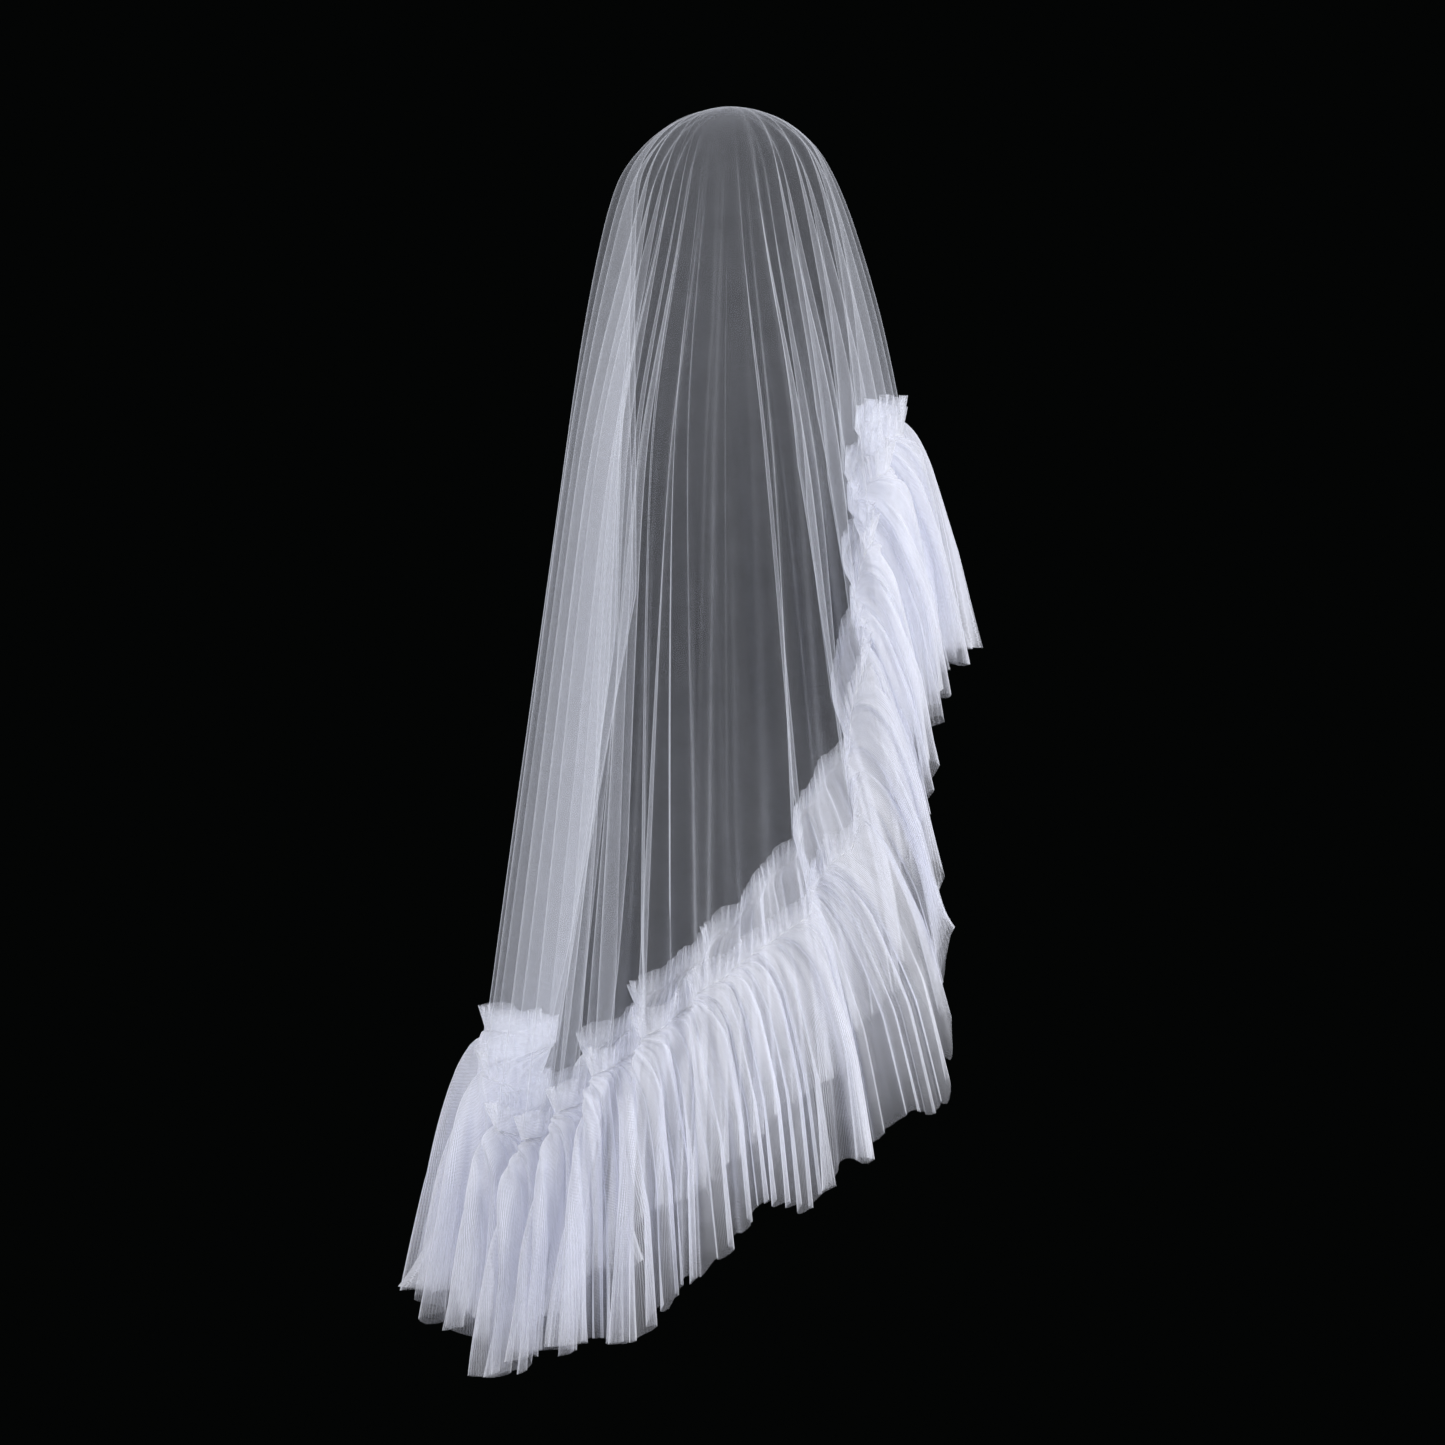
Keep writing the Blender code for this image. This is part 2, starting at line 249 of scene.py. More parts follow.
@dataclass(frozen=True)
class OuterForm:
    """The smooth form that the crests touch.

    Args:
        distance: Distance from the crown along the cloth, for each row.
        front: How steeply the cloth falls there at the front, in degrees below the horizontal.
        side: The same at the side.
        back: The same at the back.
    """

    distance: tuple[float, ...] = (
        0.0, 0.02, 0.05, 0.08, 0.11, 0.14, 0.18, 0.23, 0.29, 0.35, 0.42, 0.50, 0.70, 1.10,
    )
    front: tuple[float, ...] = (
        4.0, 11.0, 26.0, 42.0, 60.0, 67.0, 71.8, 74.0, 77.5, 79.5, 80.0, 80.5, 81.0, 83.0,
    )
    side: tuple[float, ...] = (
        3.0, 10.0, 24.0, 48.0, 63.0, 67.0, 66.0, 64.5, 64.0, 68.0, 78.0, 83.0, 85.5, 87.0,
    )
    back: tuple[float, ...] = (
        5.0, 13.0, 24.0, 41.0, 52.0, 70.0, 77.0, 79.0, 80.7, 82.0, 82.2, 82.0, 82.0, 82.5,
    )

    def at(self, azimuth: np.ndarray, distance: np.ndarray) -> tuple[np.ndarray, np.ndarray]:
        """Reach and height of the form.

        Args:
            azimuth: Degrees from the front, for each column.
            distance: Distance from the crown along the cloth, for each column.

        Returns:
            The reach from the vertical axis and the height, for each column.
        """
        steps = np.linspace(0.0, 1.0, SECTION_STEPS)[:, None] * distance
        front_back = np.cos(np.radians(azimuth))
        end = np.where(
            front_back > 0,
            np.interp(steps, self.distance, self.front),
            np.interp(steps, self.distance, self.back),
        )
        side = np.interp(steps, self.distance, self.side)
        angle = np.radians(side + (end - side) * front_back**2)
        return summed(np.cos(angle), steps), -summed(np.sin(angle), steps)


@dataclass(frozen=True)
class Section:
    """The section of a buckled fold, whose direction swings to one side and back.

    Args:
        turn: The greatest swing, in radians.
        skew: How far the fold leans to one side.
    """

    turn: float
    skew: float

    def at(self, points: np.ndarray) -> tuple[np.ndarray, np.ndarray]:
        """Share of the width passed and depth per unit of width, at points from crest (0) to crest (1)."""
        along = np.linspace(0.0, 1.0, SECTION_STEPS + 1)
        phase = 2 * math.pi * along
        direction = self.turn * np.sin(phase + self.skew * np.sin(phase))
        mean = (direction[1:] + direction[:-1]) / 2
        width = np.concatenate([[0.0], np.cumsum(np.cos(mean))])
        depth = np.concatenate([[0.0], np.cumsum(np.sin(mean))])
        depth = depth - along * depth[-1]
        return np.interp(points, along, width / width[-1]), np.interp(points, along, depth / width[-1])

    @staticmethod
    def turn_for(fullness: float, steepest: float) -> float:
        """The turn of a fold that takes up that many times its width of cloth, in radians."""
        turns = np.linspace(0.0, steepest, 60)
        phase = np.linspace(0.0, 2 * math.pi, 240, endpoint=False)
        taken = 1.0 / np.cos(turns[:, None] * np.sin(phase)).mean(axis=1)
        return float(np.interp(fullness, taken, turns))


@dataclass(frozen=True)
class Fall:
    """How the flounce falls below its gathering line, as shares of its length.

    Args:
        down: Share of the length, for each row.
        angle: Degrees below the horizontal.
        pleats: How far the pleats have opened.
        folds: How much of the oval's folds is left.
        swing: How much of the sideways swing has been reached.
    """

    down: tuple[float, ...] = (0.0, 0.09, 0.23, 0.60, 1.0)
    angle: tuple[float, ...] = (44.0, 64.0, 75.0, 80.0, 83.0)
    pleats: tuple[float, ...] = (0.0, 0.20, 0.42, 0.80, 1.0)
    folds: tuple[float, ...] = (1.0, 0.98, 0.95, 0.88, 0.80)
    swing: tuple[float, ...] = (0.0, 0.15, 0.35, 0.75, 1.0)

    def share(self, column: tuple[float, ...], down: float) -> float:
        """One of the columns, at a share of the length."""
        return float(np.interp(down, self.down, column))

    def reach(self, down: float, length: np.ndarray) -> tuple[np.ndarray, np.ndarray]:
        """How far out and down each column of the flounce has come."""
        steps = np.linspace(0.0, down, SECTION_STEPS)
        angle = np.radians(np.interp(steps, self.down, self.angle))
        return length * summed(np.cos(angle), steps), length * summed(np.sin(angle), steps)


@dataclass
class Drape:
    """The draped cloth: where each column of the veil lies, at any distance from the crown.

    Args:
        per_pleat: Columns to a pleat of the flounce.
        cut: The flat oval.
        form: The smooth outer form.
        fall: How the flounce falls.
        steepest_free: Greatest turn of a fold in the free cloth, in degrees.
        steepest_seam: Greatest turn at the gathering line, in degrees.
        seam_holds: How far above the edge the seam begins to hold the folds open.
    """

    per_pleat: int
    cut: OvalCut = field(default_factory=OvalCut)
    form: OuterForm = field(default_factory=OuterForm)
    fall: Fall = field(default_factory=Fall)
    steepest_free: float = 112.0
    steepest_seam: float = 98.0
    seam_holds: float = 0.16

    def __post_init__(self) -> None:
        counts = np.array([fold.pleats * self.per_pleat for fold in FOLDS])
        self.index = np.repeat(np.arange(len(FOLDS)), counts)
        self.place = np.concatenate([np.arange(count) / count for count in counts])
        self.cloth = self.spread([fold.cloth for fold in FOLDS], wrap=360.0)
        self.edge = self.cut.reach(self.cloth)
        self.length = self.spread([fold.length for fold in FOLDS])
        self.swing = self.spread([fold.swing for fold in FOLDS])

    @property
    def count(self) -> int:
        """The number of columns round the veil."""
        return len(self.index)

    def spread(self, values: list[float], wrap: float = 0.0) -> np.ndarray:
        """Values at the crests, spread evenly over the columns between them."""
        here = np.array(values)
        after = np.append(here[1:], here[0] + wrap)
        return here[self.index] + (after - here)[self.index] * self.place

    def crest(self, number: int, distance: float) -> tuple[float, float]:
        """A crest's direction on the cloth and its azimuth, at a distance from the crown."""
        turns, number = divmod(number, len(FOLDS))
        fold = FOLDS[number]
        share = min(distance / float(self.cut.reach(np.array(fold.cloth))), 1.0)
        cloth = fold.starts + (fold.cloth - fold.starts) * share
        azimuth = fold.starts + (fold.hangs - fold.starts) * share
        return 360.0 * turns + cloth, 360.0 * turns + azimuth

    def ring(
        self, distances: np.ndarray, steepest: float, turn_share: float = 1.0, down: float = 0.0
    ) -> np.ndarray:
        """One ring of points: the outer form with its folds turned in.

        Args:
            distances: Each column's distance from the crown.
            steepest: Greatest turn, in degrees.
            turn_share: How much of the turn is left.
            down: How far down the flounce the ring lies, as a share of its length.

        Returns:
            The points, a row for each column.
        """
        flare, drop = self.fall.reach(down, self.length)
        firsts = np.append(distances[self.place == 0], distances[0])
        crests = [self.crest(number, float(distance)) for number, distance in enumerate(firsts)]
        points = np.zeros((self.count, 3))
        for number, fold in enumerate(FOLDS):
            mine = self.index == number
            (cloth_start, start), (cloth_end, end) = crests[number], crests[number + 1]
            middle = float(distances[mine].mean())
            reach, _ = self.form.at(np.array([start, end]), firsts[number : number + 2])
            width = math.radians(end - start) * max(float(reach.mean()), 1e-6)
            taken = middle * math.radians(cloth_end - cloth_start) / width
            fullness = max(1.0 + (taken - 1.0) * fold.fullness, 1.0)
            turn = Section.turn_for(fullness, math.radians(steepest)) * turn_share
            across, depth = Section(turn, fold.skew).at(self.place[mine])
            azimuth = start + (end - start) * across
            reach, height = self.form.at(azimuth, distances[mine])
            wide = math.radians(end - start) * (reach + flare[mine])
            reach = reach + flare[mine] - depth * wide
            around = np.radians(azimuth)
            points[mine, 0] = -reach * np.sin(around)
            points[mine, 1] = -reach * np.cos(around)
            points[mine, 2] = height - drop[mine] + BODY_WALL / 2
        return points

    def oval_ring(self, distances: np.ndarray) -> np.ndarray:
        """A ring of the oval; the seam holds its folds open near the edge."""
        left = float((self.edge - distances).min())
        held = min(max(1.0 - left / self.seam_holds, 0.0), 1.0)
        return self.ring(distances, self.steepest_free + (self.steepest_seam - self.steepest_free) * held)


@dataclass(frozen=True)
class Tulle:
    """Sheer net: it covers more of what is behind it the more it is seen edge on.

    Args:
        name: The material's name.
        colour: Colour of the thread.
        cover: Share that one layer covers, seen square on.
        thinnest: The least cosine of the viewing angle that counts.
        gathered_cover: What gathering adds to the cover where the cloth is pushed together.
        unevenness: How much the cover varies over the cloth.
        through: Share of the light that the thread lets through to the other side.
        hole: Width of a hole of the net.
    """

    name: str
    colour: tuple[float, float, float, float]
    cover: float
    thinnest: float = 0.08
    gathered_cover: float = 0.0
    unevenness: float = 0.25
    through: float = 0.45
    hole: float = 0.0013

    def build(self) -> bpy.types.Material:
        """Makes the material."""
        material = bpy.data.materials.new(self.name)
        material.use_nodes = True
        tree = material.node_tree
        tree.nodes.clear()
        cover = self._cover(tree)
        thread = tree.nodes.new("ShaderNodeBsdfPrincipled")
        thread.inputs["Base Color"].default_value = self.colour
        thread.inputs["Roughness"].default_value = 0.7
        thread.inputs["Sheen Weight"].default_value = 0.15
        thread.inputs["Sheen Roughness"].default_value = 0.4
        glow = tree.nodes.new("ShaderNodeBsdfTranslucent")
        glow.inputs["Color"].default_value = self.colour
        cloth = tree.nodes.new("ShaderNodeMixShader")
        cloth.inputs["Fac"].default_value = self.through
        tree.links.new(thread.outputs["BSDF"], cloth.inputs[1])
        tree.links.new(glow.outputs["BSDF"], cloth.inputs[2])
        hole = tree.nodes.new("ShaderNodeBsdfTransparent")
        net = tree.nodes.new("ShaderNodeMixShader")
        tree.links.new(cover, net.inputs["Fac"])
        tree.links.new(hole.outputs["BSDF"], net.inputs[1])
        tree.links.new(cloth.outputs["Shader"], net.inputs[2])
        output = tree.nodes.new("ShaderNodeOutputMaterial")
        tree.links.new(net.outputs["Shader"], output.inputs["Surface"])
        return material

    def _cover(self, tree: bpy.types.NodeTree) -> bpy.types.NodeSocket:
        """How much the net covers: one less what shows through, at the depth that the view passes."""
        facing = tree.nodes.new("ShaderNodeLayerWeight")
        facing.inputs["Blend"].default_value = 0.5
        square_on = self._sum(tree, "SUBTRACT", 1.0, facing.outputs["Facing"])
        at_least = self._sum(tree, "MAXIMUM", square_on, self.thinnest)
        layers = self._sum(tree, "DIVIDE", 1.0, at_least)
        place = tree.nodes.new("ShaderNodeTexCoord")
        noise = tree.nodes.new("ShaderNodeTexNoise")
        noise.inputs["Scale"].default_value = 38.0
        noise.inputs["Detail"].default_value = 3.0
        tree.links.new(place.outputs["Object"], noise.inputs["Vector"])
        spread = self._sum(tree, "SUBTRACT", noise.outputs["Fac"], 0.5)
        change = self._sum(tree, "MULTIPLY", spread, 2.0 * self.unevenness)
        uneven = self._sum(tree, "ADD", change, 1.0)
        pushed = tree.nodes.new("ShaderNodeAttribute")
        pushed.attribute_name = GATHERING
        added = self._sum(tree, "MULTIPLY", pushed.outputs["Fac"], self.gathered_cover)
        one_layer = self._sum(tree, "ADD", added, self.cover)
        netted = self._sum(tree, "MULTIPLY", uneven, self._net(tree))
        covers = self._sum(tree, "MULTIPLY", one_layer, netted)
        shows = self._sum(tree, "SUBTRACT", 1.0, covers)
        through = self._sum(tree, "POWER", shows, layers)
        return self._sum(tree, "SUBTRACT", 1.0, through)

    def _net(self, tree: bpy.types.NodeTree) -> bpy.types.NodeSocket:
        """The net: more on its threads, less in its holes, one on average."""
        on_cut = tree.nodes.new("ShaderNodeUVMap")
        on_cut.uv_map = "cut"
        holes = tree.nodes.new("ShaderNodeTexVoronoi")
        holes.voronoi_dimensions = "2D"
        holes.feature = "DISTANCE_TO_EDGE"
        holes.inputs["Scale"].default_value = 1.0 / self.hole
        holes.inputs["Randomness"].default_value = 0.3
        tree.links.new(on_cut.outputs["UV"], holes.inputs["Vector"])
        thread = self._sum(tree, "LESS_THAN", holes.outputs["Distance"], 0.12)
        more = self._sum(tree, "MULTIPLY", thread, 1.2)
        return self._sum(tree, "ADD", more, 0.5)

    @staticmethod
    def _sum(tree: bpy.types.NodeTree, operation: str, first: object, second: object) -> bpy.types.NodeSocket:
        """A Math node; each side is a value or a socket."""
        node = tree.nodes.new("ShaderNodeMath")
        node.operation = operation
        for socket, value in zip(node.inputs, (first, second)):
            if isinstance(value, bpy.types.NodeSocket):
                tree.links.new(value, socket)
            else:
                socket.default_value = value
        return node.outputs["Value"]


@dataclass(frozen=True)
class Thread:
    """Plain white sewing thread."""

    name: str = "thread"
    colour: tuple[float, float, float, float] = (0.93, 0.94, 0.95, 1.0)

    def build(self) -> bpy.types.Material:
        """Makes the material."""
        material = bpy.data.materials.new(self.name)
        material.use_nodes = True
        surface = material.node_tree.nodes["Principled BSDF"]
        surface.inputs["Base Color"].default_value = self.colour
        surface.inputs["Roughness"].default_value = 0.8
        return material


@dataclass
class Sheet:
    """A sheet of cloth drawn as a grid whose points are moved into place.

    Args:
        name: The piece's name.
        across: Columns round the veil; the last meets the first.
        rows: Rows of points.
    """

    name: str
    across: int
    rows: int

    def build(
        self,
        place: Callable[[int], np.ndarray],
        material: bpy.types.Material,
        flat: Callable[[int, int], tuple[float, float]],
        gathering: Callable[[int], float] = lambda row: 0.0,
    ) -> bpy.types.Object:
        """Makes the sheet.

        Args:
            place: Gives the points of a row, one for each column.
            material: The cloth.
            flat: Gives where a row's column lies on the flat cut, in metres.
            gathering: How far the cloth of a row is pushed together, from 0 to 1.

        Returns:
            The sheet, at the origin.
        """
        placed = [place(row) for row in range(self.rows)]
        bm = bmesh.new()
        bmesh.ops.create_grid(bm, x_segments=self.across, y_segments=self.rows - 1, size=0.5)
        pushed = bm.verts.layers.float.new(GATHERING)
        cut = bm.loops.layers.uv.new("cut")
        for vert in bm.verts:
            column = round((vert.co.x + 0.5) * self.across)
            row = round((vert.co.y + 0.5) * (self.rows - 1))
            on_cut = flat(row, column)
            for loop in vert.link_loops:
                loop[cut].uv = on_cut
            vert.co = Vector(placed[row][column % self.across])
            vert[pushed] = gathering(row)
        bmesh.ops.remove_doubles(bm, verts=bm.verts, dist=MERGE_DISTANCE)
        bmesh.ops.recalc_face_normals(bm, faces=bm.faces)
        for face in bm.faces:
            face.smooth = True
        mesh = bpy.data.meshes.new(self.name)
        bm.to_mesh(mesh)
        bm.free()
        mesh.materials.append(material)
        piece = bpy.data.objects.new(self.name, mesh)
        bpy.context.scene.collection.objects.link(piece)
        log.info("%s: %d faces", self.name, len(mesh.polygons))
        return piece


@dataclass
class OvalPanel:
    """The oval of tulle over the head.

    Args:
        drape: Where the cloth lies.
        head_rows: Rows from the crown to the head's widest.
        hanging_rows: Rows from there to the edge.
        head_distance: Where the hanging rows begin, from the crown.
        ripples: Small ripples on each fold.
        ripple_height: How far the deepest stands out or in.
        ripple_seed: Start of the ripples' random sizes.
    """

    drape: Drape
    head_rows: int = 26
    hanging_rows: int = 74
    head_distance: float = 0.145
    ripples: int = 2
    ripple_height: float = 0.0050
    ripple_seed: int = 21

    def __post_init__(self) -> None:
        random = np.random.default_rng(self.ripple_seed)
        self.ripple_place = [np.sort(random.uniform(0.12, 0.88, self.ripples)) for _ in FOLDS]
        self.ripple_width = random.uniform(0.05, 0.13, (len(FOLDS), self.ripples))
        self.ripple_depth = random.uniform(-1.0, 1.0, (len(FOLDS), self.ripples)) * self.ripple_height

    def distances(self, row: int) -> np.ndarray:
        """Each column's distance from the crown, in a row."""
        edge = self.drape.edge
        if row < self.head_rows:
            return np.full(self.drape.count, self.head_distance * row / self.head_rows)
        share = (row - self.head_rows) / self.hanging_rows
        return self.head_distance + (edge - self.head_distance) * share

    def flat(self, row: int, column: int) -> tuple[float, float]:
        """Where a row's column lies on the flat oval, from the crown."""
        here = column % self.drape.count
        distance = float(self.distances(row)[here])
        direction = math.radians(float(self.drape.cloth[here]))
        return distance * math.sin(direction), distance * math.cos(direction)

    def points(self, row: int) -> np.ndarray:
        """The points of a row."""
        distances = self.distances(row)
        if row == 0:
            return np.tile((0.0, 0.0, BODY_WALL / 2), (self.drape.count, 1))
        base = self.drape.oval_ring(distances)
        return self._rippled(base, distances) + self._creases(base, distances)[:, None] * self._normals(base)

    def _normals(self, base: np.ndarray) -> np.ndarray:
        """Unit vectors that point out of the cloth, in plan."""
        along = np.roll(base, -2, axis=0) - np.roll(base, 2, axis=0)
        normal = unit(np.cross(along, (0.0, 0.0, 1.0)))
        return normal * np.sign((normal * outward_in_plan(base)).sum(axis=1).mean())

    def _rippled(self, base: np.ndarray, distances: np.ndarray) -> np.ndarray:
        """The ring with small ripples on its folds, which the head and the seam smooth out."""
        drape = self.drape
        normal = self._normals(base)
        out = np.zeros(drape.count)
        left = drape.edge - distances
        grown = np.clip((distances - 0.07) / 0.25, 0.0, 1.0) * np.clip(left / 0.10, 0.0, 1.0)
        for number in range(len(FOLDS)):
            mine = drape.index == number
            span = self.ripple_width[number][:, None]
            beside = (drape.place[mine][None, :] - self.ripple_place[number][:, None]) / span
            wave = np.exp(-(beside**2)) * self.ripple_depth[number][:, None]
            out[mine] = wave.sum(axis=0)
        return base + normal * (out * grown)[:, None]

    def _creases(self, base: np.ndarray, distances: np.ndarray) -> np.ndarray:
        """How far the creases stand out, for each column."""
        out = np.zeros(self.drape.count)
        for crease in CREASES:
            middle = (crease.start + crease.end) / 2
            half = (crease.end - crease.start) / 2
            fade = np.clip(1.0 - ((distances - middle) / half) ** 2, 0.0, 1.0)
            turn = np.mod(self.drape.cloth - crease.cloth + 180.0, 360.0) - 180.0
            beside = np.radians(turn) * distances / crease.width
            out += crease.depth * fade * np.exp(-(beside**2))
        left = self.drape.edge - distances
        return out * np.clip(left / 0.03, 0.0, 1.0)

    def build(self, finish: Tulle) -> bpy.types.Object:
        """Builds and dresses the oval."""
        sheet = Sheet("oval_of_tulle", self.drape.count, self.head_rows + self.hanging_rows + 1)
        piece = sheet.build(self.points, finish.build(), self.flat)
        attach(piece, BODY)
        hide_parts(Node.OVAL.value)
        cut = self.drape.cut
        cut.area()
        return piece


@dataclass
class FlounceStrip:
    """The strip that is gathered onto the oval's edge, with the frilled heading above its gathering line.

    Args:
        drape: Where the cloth lies.
        heading_rows: Rows above the gathering line.
        hanging_rows: Rows below it.
        heading_height: How far the heading stands above the line.
        heading_lean: How far its top leans out.
        heading_frill: How far its frills stand out and in.
        steepest_pleat: Greatest turn of a pleat at the hem, in degrees.
        opens_early: Power of the pleats' opening; below one they open close to the line.
        bulge: How far the pleats stand out of the oval's line; below nought, in.
        gathers: Fine gathers to a pleat, along the line.
        gather_height: How far the fine gathers stand out below the line.
        gather_left: How far they still do at the hem.
        gather_fades: Distance below the line over which they fade.
        hem_unevenness: How far the raw hem strays up and down.
        cut_length: Length of the flat strip.
        cut_width: Width of the flat strip, heading and all.
        seed: Start of the random sizes.
    """

    drape: Drape
    heading_rows: int = 7
    hanging_rows: int = 32
    heading_height: float = 0.024
    heading_lean: float = 0.0065
    heading_frill: float = 0.0040
    steepest_pleat: float = 115.0
    opens_early: float = 0.45
    bulge: float = -0.003
    gathers: int = 3
    gather_height: float = 0.0075
    gather_left: float = 0.0043
    gather_fades: float = 0.06
    hem_unevenness: float = 0.020
    cut_length: float = 7.6
    cut_width: float = 0.265
    seed: int = 7

    def __post_init__(self) -> None:
        drape = self.drape
        random = np.random.default_rng(self.seed)
        self.pleats = drape.count // drape.per_pleat
        column = np.arange(drape.count)
        self.pleat = column // drape.per_pleat
        self.within = (column % drape.per_pleat) / drape.per_pleat
        self.size = random.uniform(0.84, 1.12, self.pleats)
        self.skew = random.uniform(-0.75, 0.75, self.pleats)
        self.hem = random.normal(0.0, self.hem_unevenness, self.pleats)
        self.gather = random.uniform(0.3, 1.5, self.pleats * self.gathers)
        self.top = random.uniform(0.80, 1.12, self.pleats * self.gathers)
        widths = random.uniform(0.45, 1.6, self.pleats)
        ends = np.cumsum(widths) / widths.sum() * drape.count
        self.bounds = np.concatenate([[0.0], ends])
        self.sway = np.cumsum(random.normal(0.0, 0.002, self.pleats))
        self.sway -= np.linspace(0.0, 1.0, self.pleats) * self.sway[-1]

    def _periodic(self, values: np.ndarray, at: np.ndarray) -> np.ndarray:
        """Values of a ring at places between its columns."""
        count = self.drape.count
        grid = np.arange(count)
        return np.stack([np.interp(at, grid, values[:, axis], period=count) for axis in range(3)], axis=1)

    def _normals(self, base: np.ndarray) -> np.ndarray:
        """Level unit vectors out of the strip, smoothed over a pleat."""
        reach = self.drape.per_pleat // 2
        along = np.roll(base, -reach, axis=0) - np.roll(base, reach, axis=0)
        normal = unit(np.cross(along, (0.0, 0.0, 1.0)))
        ahead = outward_in_plan(base)
        normal *= np.sign((normal * ahead).sum(axis=1).mean())
        return unit(normal * 0.55 + ahead * 0.45)

    def _fine(self, sizes: np.ndarray) -> np.ndarray:
        """The fine gathers' wave, from 0 to 1, times a size for each gather."""
        phase = self.within * self.gathers
        which = self.pleat * self.gathers + phase.astype(int)
        return (0.5 - 0.5 * np.cos(2 * math.pi * phase)) * sizes[which]

    def heading(self, share: float) -> np.ndarray:
        """A row of the heading: share is 0 at the gathering line and 1 at the top."""
        drape = self.drape
        phase = self.within * self.gathers
        which = self.pleat * self.gathers + phase.astype(int)
        after = np.roll(self.top, -1)
        blend = phase - phase.astype(int)
        top = self.top[which] * (1 - blend) + after[which] * blend
        base = drape.oval_ring(drape.edge - self.heading_height * share * top)
        lift = BODY_WALL / 2 + SEAM_GAP + STRIP_WALL / 2
        wave = self._fine(self.gather) * 2.0 - 1.0
        out = lift + share * self.heading_lean + share**0.8 * self.heading_frill * wave
        return base + self._normals(base) * np.maximum(out, lift)[:, None]

    def hanging(self, down: float) -> np.ndarray:
        """A row of the flounce: down is 0 at the gathering line and 1 at the hem."""
        drape = self.drape
        fall = drape.fall
        base = drape.ring(drape.edge, drape.steepest_seam, fall.share(fall.folds, down), down)
        normal = self._normals(base)
        opened = fall.share(fall.pleats, down) ** self.opens_early
        even = np.arange(self.pleats + 1) * float(drape.per_pleat)
        bounds = even + (self.bounds - even) * opened
        corners = self._periodic(base, bounds)
        span = np.diff(corners, axis=0)
        chord = np.linalg.norm(span[:, :2], axis=1)
        across_plan = np.abs(np.cross(span, outward_in_plan(corners[:-1]))[:, 2])
        room = 0.35 + 0.65 * across_plan / np.maximum(chord, 1e-6)
        moved = np.zeros(drape.count)
        out = np.zeros(drape.count)
        for number in range(self.pleats):
            mine = self.pleat == number
            turn = math.radians(self.steepest_pleat) * opened * self.size[number]
            across, depth = Section(turn, self.skew[number] * opened).at(self.within[mine])
            moved[mine] = bounds[number] + across * (bounds[number + 1] - bounds[number])
            out[mine] = (float(depth.max()) / 2 - depth) * chord[number] * room[number]
        lift = BODY_WALL / 2 + SEAM_GAP + STRIP_WALL / 2
        out += lift + opened * self.bulge
        points = self._periodic(base, moved) + self._periodic(normal, moved) * out[:, None]
        points += self._along_normals(points) * self._gathered(down)[:, None]
        ahead = outward_in_plan(base)
        forward = np.cross((0.0, 0.0, 1.0), ahead)
        aside = drape.swing * fall.share(fall.swing, down)
        points += forward * aside[:, None]
        starts = np.arange(self.pleats) * drape.per_pleat
        stray = np.interp(np.arange(drape.count), starts, self.hem, period=drape.count)
        points[:, 2] += stray * down**2 * 0.35
        sway = np.interp(np.arange(drape.count), starts, self.sway, period=drape.count)
        points += ahead * (sway * down**1.5)[:, None]
        return points

    def _gathered(self, down: float) -> np.ndarray:
        """How far the fine gathers stand out of the pleats: tight below the line, slack at the hem."""
        distance = down * self.drape.length
        fading = np.exp(-distance / self.gather_fades)
        height = self.gather_height * fading + self.gather_left * (1.0 - fading)
        height *= np.clip(distance / 0.012, 0.0, 1.0)
        return (self._fine(self.gather) - 0.5 * self._fine(np.ones(len(self.gather)))) * height

    @staticmethod
    def _along_normals(points: np.ndarray) -> np.ndarray:
        """Level unit vectors to one side of a ring, which follow its pleats."""
        return unit(np.cross((0.0, 0.0, 1.0), np.roll(points, -1, axis=0) - np.roll(points, 1, axis=0)))

    def points(self, row: int) -> np.ndarray:
        """The points of a row, from the heading's top to the hem."""
        if row < self.heading_rows:
            return self.heading(1.0 - row / self.heading_rows)
        share = (row - self.heading_rows) / self.hanging_rows
        return self.hanging(share**1.25)

    def flat(self, row: int, column: int) -> tuple[float, float]:
        """Where a row's column lies on the flat strip, from the end of its gathering line."""
        along = self.cut_length * column / self.drape.count
        if row < self.heading_rows:
            return along, self.heading_height * (1.0 - row / self.heading_rows)
        share = ((row - self.heading_rows) / self.hanging_rows) ** 1.25
        return along, -share * (self.cut_width - self.heading_height)

    def gathering(self, row: int) -> float:
        """How far the cloth of a row is pushed together: fully at the line, hardly at the hem."""
        if row < self.heading_rows:
            return 1.0 - 0.9 * (1.0 - row / self.heading_rows) ** 1.5
        share = (row - self.heading_rows) / self.hanging_rows
        return math.exp(-0.8 * share**1.5) * (1.0 - share**5)

    def build(self, finish: Tulle) -> bpy.types.Object:
        """Builds and dresses the strip."""
        sheet = Sheet("gathered_flounce", self.drape.count, self.heading_rows + self.hanging_rows + 1)
        piece = sheet.build(self.points, finish.build(), self.flat, self.gathering)
        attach(piece, BODY)
        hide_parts(Node.FLOUNCE.value)
        return piece


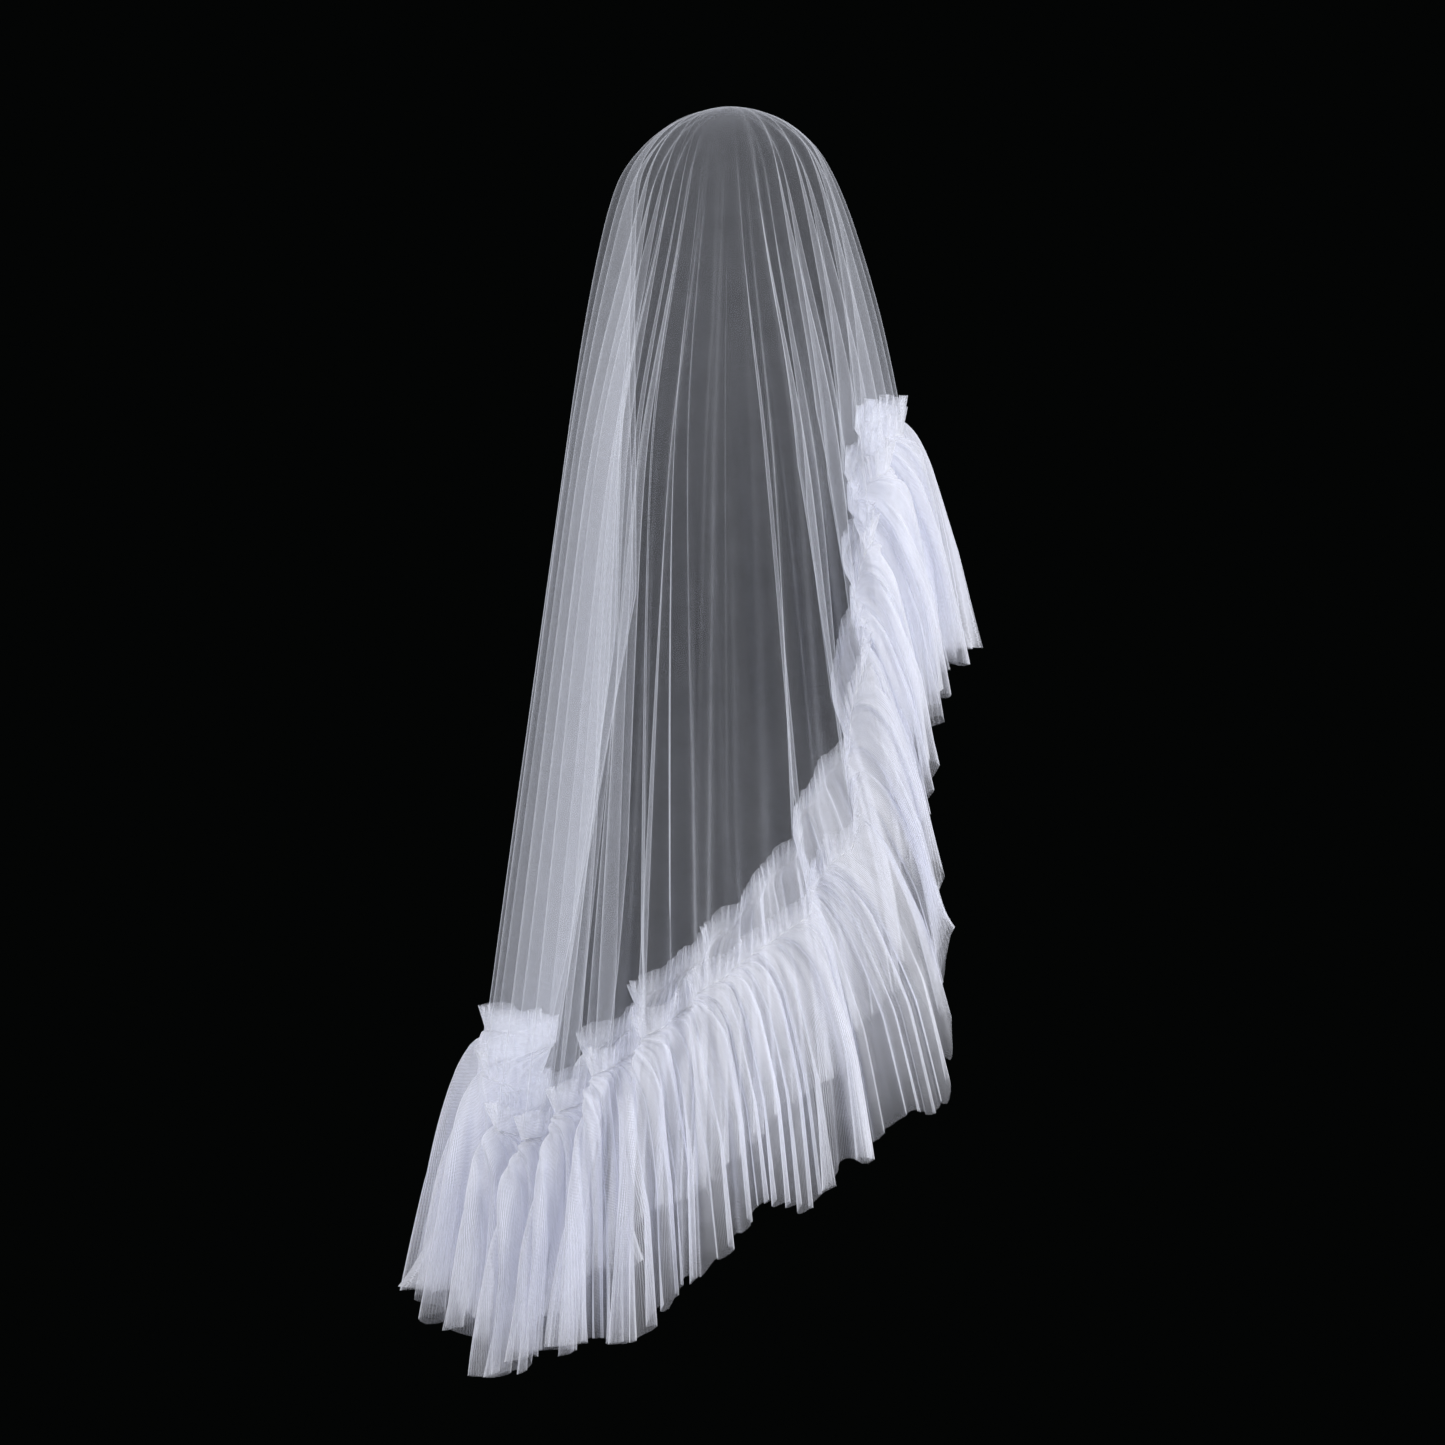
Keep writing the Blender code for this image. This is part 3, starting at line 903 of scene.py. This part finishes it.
@dataclass
class GatheringThread:
    """The running stitches that hold the gathers, along the gathering line.

    Args:
        strip: The strip that they gather.
        radius: Half the thread's thickness.
        lift: How far the stitches stand off the strip.
        stitch: Columns to a stitch and to the gap that follows it.
    """

    strip: FlounceStrip
    radius: float = 0.00022
    lift: float = 0.0007
    stitch: int = 4

    def build(self, finish: Thread) -> bpy.types.Object:
        """Builds the stitches."""
        line = self.strip.hanging(0.0)
        line = line + self.strip._normals(line) * self.lift
        curve = bpy.data.curves.new("gathering_thread", "CURVE")
        curve.dimensions = "3D"
        curve.bevel_depth = self.radius
        curve.bevel_resolution = 0
        for start in range(0, len(line) - self.stitch, 2 * self.stitch):
            points = line[start : start + self.stitch]
            spline = curve.splines.new("POLY")
            spline.points.add(len(points) - 1)
            for target, point in zip(spline.points, points):
                target.co = (*point, 1.0)
        curve.materials.append(finish.build())
        piece = bpy.data.objects.new("gathering_thread", curve)
        bpy.context.scene.collection.objects.link(piece)
        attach(piece, BODY)
        log.info("gathering_thread: %d stitches", len(curve.splines))
        return piece


@dataclass(frozen=True)
class Lamp:
    """A soft square light.

    Args:
        name: The light's name.
        place: Where it stands.
        size: Length of its side.
        watts: Its power.
    """

    name: str
    place: tuple[float, float, float]
    size: float
    watts: float


@dataclass
class Studio:
    """Floor, lights and camera.

    Args:
        middle: The point that the camera and the lights look at.
        away: How far the camera is from it, on the shown side.
        width: What the camera sees at that distance.
        floor_height: Where the floor lies below the crown, for a wearer who stands.
        floor_radius: Radius of the round floor.
        lamps: The lights.
    """

    middle: tuple[float, float, float] = (0.0, 0.007, -0.584)
    away: float = 4.2
    width: float = 1.3727
    floor_height: float = -1.70
    floor_radius: float = 2.5
    lamps: tuple[Lamp, ...] = (
        Lamp("key", (-3.2, -2.6, 1.0), 2.0, 165.0),
        Lamp("fill", (-3.2, 2.6, 0.0), 2.2, 95.0),
        Lamp("front", (1.6, -3.4, 0.2), 1.8, 74.0),
        Lamp("back", (2.8, 2.4, 0.8), 1.8, 70.0),
        Lamp("top", (0.0, 0.0, 2.6), 1.6, 36.0),
    )

    def build(self) -> None:
        """Builds the stage."""
        self._floor()
        self._world()
        for lamp in self.lamps:
            self._lamp(lamp)
        self._camera()
        bpy.context.scene.cycles.transparent_max_bounces = 96
        bpy.context.scene.view_settings.view_transform = "Standard"

    def _floor(self) -> None:
        """A plain pale round floor with a painted pool of light: its colour darkens toward its rim as painted
        shade.
        """
        bm = bmesh.new()
        bmesh.ops.create_circle(bm, cap_ends=True, segments=96, radius=self.floor_radius)
        mesh = bpy.data.meshes.new("floor")
        bm.to_mesh(mesh)
        bm.free()
        floor = bpy.data.objects.new("floor", mesh)
        floor.location = (0.0, 0.0, self.floor_height)
        bpy.context.scene.collection.objects.link(floor)
        material = bpy.data.materials.new("floor")
        material.use_nodes = True
        tree = material.node_tree
        surface = tree.nodes["Principled BSDF"]
        surface.inputs["Roughness"].default_value = 0.9
        place = tree.nodes.new("ShaderNodeTexCoord")
        away = tree.nodes.new("ShaderNodeVectorMath")
        away.operation = "LENGTH"
        tree.links.new(place.outputs["Object"], away.inputs[0])
        # Painted shade: the floor's colour fades from pale grey to near black toward its rim, a painted pool
        # of light.
        painted_falloff = tree.nodes.new("ShaderNodeMapRange")
        painted_falloff.interpolation_type = "SMOOTHSTEP"
        painted_falloff.inputs["From Min"].default_value = self.floor_radius * 0.35
        painted_falloff.inputs["From Max"].default_value = self.floor_radius * 0.98
        tree.links.new(away.outputs["Value"], painted_falloff.inputs["Value"])
        shade = tree.nodes.new("ShaderNodeMix")
        shade.data_type = "RGBA"
        shade.inputs[6].default_value = (0.40, 0.40, 0.41, 1.0)
        shade.inputs[7].default_value = (0.001, 0.001, 0.001, 1.0)
        tree.links.new(painted_falloff.outputs["Result"], shade.inputs["Factor"])
        tree.links.new(shade.outputs[2], surface.inputs["Base Color"])
        mesh.materials.append(material)

    def _world(self) -> None:
        world = bpy.data.worlds.new("studio")
        world.use_nodes = True
        background = world.node_tree.nodes["Background"]
        background.inputs["Color"].default_value = (0.0012, 0.0015, 0.0014, 1.0)
        background.inputs["Strength"].default_value = 1.0
        bpy.context.scene.world = world

    def _lamp(self, lamp: Lamp) -> None:
        light = bpy.data.lights.new(lamp.name, "AREA")
        light.shape = "SQUARE"
        light.size = lamp.size
        light.energy = lamp.watts
        made = bpy.data.objects.new(lamp.name, light)
        made.location = lamp.place
        toward = Vector(self.middle) - Vector(lamp.place)
        made.rotation_euler = toward.to_track_quat("-Z", "Y").to_euler()
        bpy.context.scene.collection.objects.link(made)

    def _camera(self) -> None:
        data = bpy.data.cameras.new("camera")
        data.sensor_fit = "HORIZONTAL"
        data.sensor_width = 36.0
        data.lens = 36.0 * self.away / self.width
        data.clip_end = 40.0
        camera = bpy.data.objects.new("camera", data)
        camera.location = Vector(self.middle) - Vector((self.away, 0.0, 0.0))
        camera.rotation_euler = Vector((1.0, 0.0, 0.0)).to_track_quat("-Z", "Y").to_euler()
        bpy.context.scene.collection.objects.link(camera)
        bpy.context.scene.camera = camera


@dataclass
class Veil:
    """The whole veil.

    Args:
        oval_detail: Columns of the oval to a pleat.
        strip_detail: Columns of the strip to a pleat.
        oval_finish: The oval's cloth.
        strip_finish: The strip's cloth.
        thread: The sewing thread.
    """

    oval_detail: int = 6
    strip_detail: int = 18
    oval_finish: Tulle = Tulle("tulle_body", (0.85, 0.88, 0.98, 1.0), 0.062)
    strip_finish: Tulle = Tulle("tulle_flounce", (0.87, 0.885, 0.97, 1.0), 0.135, gathered_cover=0.58)
    thread: Thread = Thread()

    def build(self) -> None:
        """Builds its pieces in the order in which they are sewn."""
        OvalPanel(Drape(self.oval_detail)).build(self.oval_finish)
        strip = FlounceStrip(Drape(self.strip_detail))
        piece = strip.build(self.strip_finish)
        stitches = GatheringThread(strip).build(self.thread)


def main() -> None:
    """Builds the scene in order."""
    logging.basicConfig(level=logging.INFO)
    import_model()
    Veil().build()
    Studio().build()


if __name__ == "__main__":
    main()
